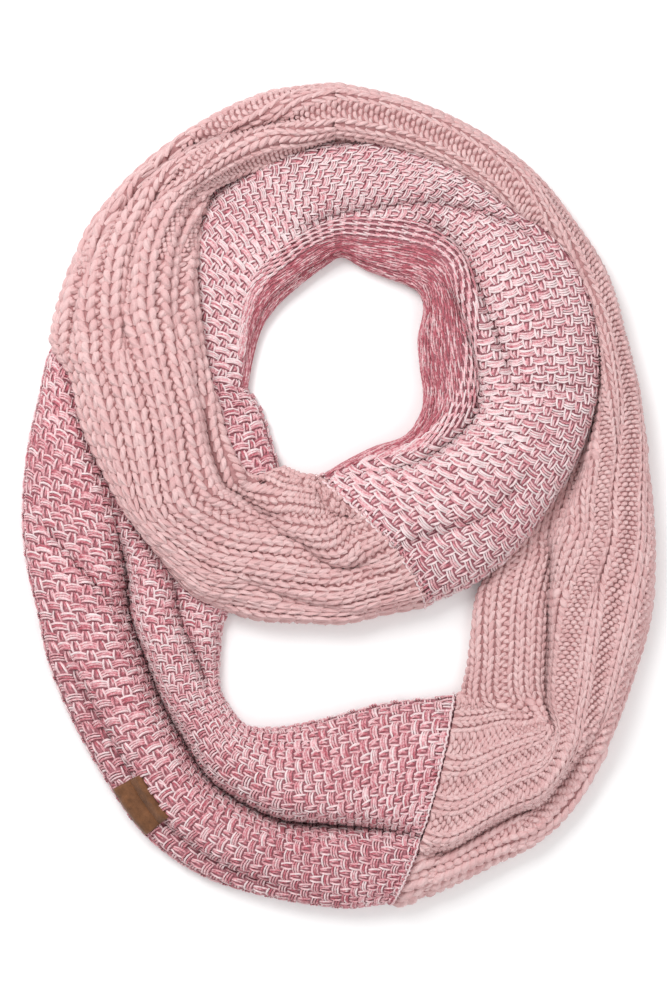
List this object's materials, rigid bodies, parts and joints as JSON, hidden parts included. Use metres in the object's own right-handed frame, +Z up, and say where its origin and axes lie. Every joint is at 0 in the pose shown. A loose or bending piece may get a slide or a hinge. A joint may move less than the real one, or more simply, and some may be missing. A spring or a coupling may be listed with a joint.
{
  "type": "infinity scarf",
  "caption": "Knitted infinity scarf laid flat in two turns: one endless strip of a plain rib panel and a marled tuck-stitch panel, crossing over itself once, with a small leather patch.",
  "frame": {"origin": "on the surface the scarf lies on, under the middle of its outline", "axes": "+X to the right of the laid loop, +Y along its long way towards the top of the small turn, +Z up from the surface"},
  "size_m": [0.353, 0.4606, 0.0401],
  "materials": {
    "rib_knit": "dusty pink chunky acrylic rib knit",
    "tuck_knit": "marled white, pink and rose tuck-stitch knit",
    "patch_leather": "brown sueded leather"
  },
  "bodies": {
    "root": {"rib_panel_right": "rib_knit", "rib_panel_crossing": "rib_knit", "tuck_panel_ring": "tuck_knit", "tuck_panel_outer": "tuck_knit", "leather_patch": "patch_leather"}
  },
  "joints": []
}
